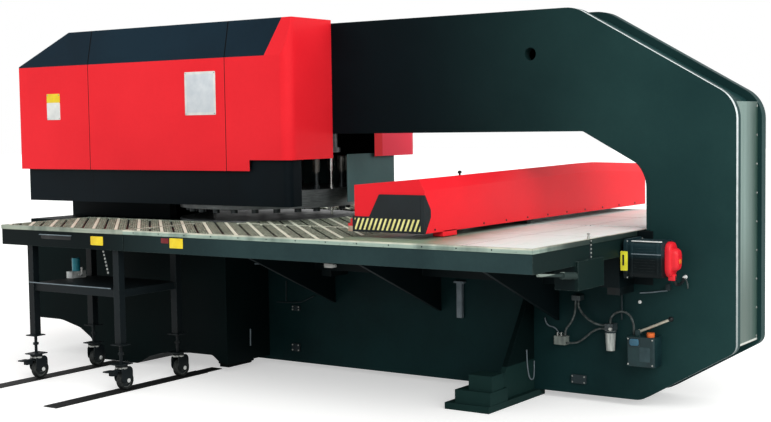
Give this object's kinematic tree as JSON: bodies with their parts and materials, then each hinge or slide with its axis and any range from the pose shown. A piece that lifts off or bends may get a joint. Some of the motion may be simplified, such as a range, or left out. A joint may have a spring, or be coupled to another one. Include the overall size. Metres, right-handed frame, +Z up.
{
  "type": "cnc turret punch press",
  "caption": "Turret punch press with a closed frame, a long window, a cross beam with sheet clamps over a brush table, and a roll-out table cart on casters.",
  "frame": {"origin": "floor level, midway between the four anchor holes of the outriggers", "axes": "+X along the frame towards the column, +Y through the frame away from the roll-out cart, +Z up"},
  "size_m": [4.761, 3.256, 2.102],
  "materials": {
    "frame_paint": "satin dark teal-black paint",
    "red_paint": "semi-gloss bright red paint",
    "black_paint": "satin black paint",
    "slate_paint": "satin slate paint",
    "pale_paint": "satin pale grey-green paint",
    "ivory_paint": "satin ivory paint",
    "motor_paint": "satin black paint with pale edges",
    "turret_iron": "machined dark iron",
    "tool_steel": "oiled machined steel",
    "bright_steel": "ground steel",
    "zinc_plate": "zinc-plated steel",
    "floor_steel": "galvanised steel",
    "valve_alloy": "cast and anodised aluminium",
    "red_plastic": "glossy red plastic",
    "pump_plastic": "matt dark plastic",
    "brush": "dense grey-brown brush fibres",
    "wheel_rubber": "grey rubber",
    "hose_rubber": "grey-black hose rubber"
  },
  "bodies": {
    "machine": {"frame_plate_near": "frame_paint", "frame_plate_far": "frame_paint", "edge_spacer": "frame_paint", "rear_panel": "pale_paint", "outriggers": "frame_paint", "head_cover_near": "red_paint", "head_cap_near": "black_paint", "turret_skirt_near": "black_paint", "head_cover_far": "red_paint", "head_cap_far": "black_paint", "turret_skirt_far": "slate_paint", "base_casings": "black_paint", "turret_drives": "frame_paint", "ram_cylinder": "frame_paint", "table_apron": "slate_paint", "table_trim": "ivory_paint", "table_bed": "black_paint", "deck_bars": "ivory_paint", "brush_bands": "brush", "deck_plates": "ivory_paint", "beam_rails": "bright_steel", "beam_motor": "motor_paint", "beam_motor_cap": "red_plastic", "floor_rails": "floor_steel", "lube_pump": "pump_plastic", "air_unit": "valve_alloy", "service_hoses": "hose_rubber"},
    "upper_turret_group": {"upper_turret": "turret_iron", "punch_holders": "tool_steel", "upper_shaft": "tool_steel"},
    "lower_turret_group": {"lower_turret": "turret_iron", "lower_shaft": "tool_steel"},
    "ram_group": {"ram": "bright_steel"},
    "working_punch_group": {"working_punch": "tool_steel"},
    "screw_group": {"ball_screw": "bright_steel"},
    "beam": {"beam_saddle": "black_paint", "beam_girder": "slate_paint", "beam_cover": "red_paint", "beam_end_plate": "black_paint", "beam_lamp": "red_plastic"},
    "carriage": {"clamp_carriage": "black_paint"},
    "jaw_1": {"clamp_jaw_1": "tool_steel"},
    "jaw_2": {"clamp_jaw_2": "tool_steel"},
    "jaw_3": {"clamp_jaw_3": "tool_steel"},
    "cart": {"cart_frame": "slate_paint", "cart_apron": "slate_paint", "cart_deck": "ivory_paint", "cart_brushes": "brush", "shelf_valve": "valve_alloy"},
    "lever": {"lube_lever": "zinc_plate"},
    "caster_1": {"caster_fork_1": "zinc_plate"},
    "wheel_1": {"caster_wheel_1": "wheel_rubber"},
    "caster_2": {"caster_fork_2": "zinc_plate"},
    "wheel_2": {"caster_wheel_2": "wheel_rubber"},
    "caster_3": {"caster_fork_3": "zinc_plate"},
    "wheel_3": {"caster_wheel_3": "wheel_rubber"},
    "caster_4": {"caster_fork_4": "zinc_plate"},
    "wheel_4": {"caster_wheel_4": "wheel_rubber"},
    "pedal_1": {"brake_pedal_1": "zinc_plate"},
    "pedal_2": {"brake_pedal_2": "zinc_plate"}
  },
  "joints": [
    {"name": "upper_turret_spin", "type": "hinge", "parent": "machine", "child": "upper_turret_group", "pos_m": [-0.92, 0, 1.04], "axis": [0, 0, 1], "continuous": true},
    {"name": "lower_turret_spin", "type": "hinge", "parent": "machine", "child": "lower_turret_group", "pos_m": [-0.92, 0, 0.867], "axis": [0, 0, 1], "continuous": true},
    {"name": "ram_stroke", "type": "slide", "parent": "machine", "child": "ram_group", "axis": [0, 0, 1], "range_m": [-0.03, 0]},
    {"name": "punch_stroke", "type": "slide", "parent": "upper_turret_group", "child": "working_punch_group", "axis": [0, 0, 1], "range_m": [-0.03, 0]},
    {"name": "beam_slide", "type": "slide", "parent": "machine", "child": "beam", "axis": [1, 0, 0], "range_m": [-0.63, 0.62]},
    {"name": "screw_spin", "type": "hinge", "parent": "machine", "child": "screw_group", "pos_m": [0.75, -0.324, 0.79], "axis": [1, 0, 0], "range_deg": [-5700, 5700]},
    {"name": "carriage_slide", "type": "slide", "parent": "beam", "child": "carriage", "axis": [0, 1, 0], "range_m": [-0.7, 0.7]},
    {"name": "cart_roll", "type": "slide", "parent": "machine", "child": "cart", "axis": [0, -1, 0], "range_m": [0, 0.48]},
    {"name": "lever_pump", "type": "hinge", "parent": "machine", "child": "lever", "pos_m": [1.739, -0.2615, 0.4], "axis": [0, 1, 0], "range_deg": [-40, 12]},
    {"name": "jaw_1_open", "type": "hinge", "parent": "carriage", "child": "jaw_1", "pos_m": [0.56, -0.252, 0.985], "axis": [0, 1, 0], "range_deg": [0, 12]},
    {"name": "jaw_2_open", "type": "hinge", "parent": "carriage", "child": "jaw_2", "pos_m": [0.56, 0.148, 0.985], "axis": [0, 1, 0], "range_deg": [0, 12]},
    {"name": "jaw_3_open", "type": "hinge", "parent": "carriage", "child": "jaw_3", "pos_m": [0.56, 0.548, 0.985], "axis": [0, 1, 0], "range_deg": [0, 12]},
    {"name": "caster_1_swivel", "type": "hinge", "parent": "cart", "child": "caster_1", "pos_m": [-1.67, -1.282, 0.146], "axis": [0, 0, 1], "continuous": true},
    {"name": "wheel_1_roll", "type": "hinge", "parent": "caster_1", "child": "wheel_1", "pos_m": [-1.67, -1.257, 0.0573], "axis": [1, 0, 0], "continuous": true},
    {"name": "caster_2_swivel", "type": "hinge", "parent": "cart", "child": "caster_2", "pos_m": [-1.67, -0.826, 0.146], "axis": [0, 0, 1], "continuous": true},
    {"name": "wheel_2_roll", "type": "hinge", "parent": "caster_2", "child": "wheel_2", "pos_m": [-1.67, -0.801, 0.0573], "axis": [1, 0, 0], "continuous": true},
    {"name": "caster_3_swivel", "type": "hinge", "parent": "cart", "child": "caster_3", "pos_m": [-0.957, -1.282, 0.146], "axis": [0, 0, 1], "continuous": true},
    {"name": "wheel_3_roll", "type": "hinge", "parent": "caster_3", "child": "wheel_3", "pos_m": [-0.957, -1.257, 0.0573], "axis": [1, 0, 0], "continuous": true},
    {"name": "caster_4_swivel", "type": "hinge", "parent": "cart", "child": "caster_4", "pos_m": [-0.957, -0.826, 0.146], "axis": [0, 0, 1], "continuous": true},
    {"name": "wheel_4_roll", "type": "hinge", "parent": "caster_4", "child": "wheel_4", "pos_m": [-0.957, -0.801, 0.0573], "axis": [1, 0, 0], "continuous": true},
    {"name": "pedal_1_press", "type": "hinge", "parent": "caster_1", "child": "pedal_1", "pos_m": [-1.67, -1.295, 0.116], "axis": [1, 0, 0], "range_deg": [0, 14]},
    {"name": "pedal_2_press", "type": "hinge", "parent": "caster_3", "child": "pedal_2", "pos_m": [-0.957, -1.295, 0.116], "axis": [1, 0, 0], "range_deg": [0, 14]}
  ],
  "couplings": [
    {"joint": "lower_turret_spin", "follows": "upper_turret_spin", "ratio": 1},
    {"joint": "punch_stroke", "follows": "ram_stroke", "ratio": 1},
    {"joint": "screw_spin", "follows": "beam_slide", "rad_per_m": 157.08}
  ]
}
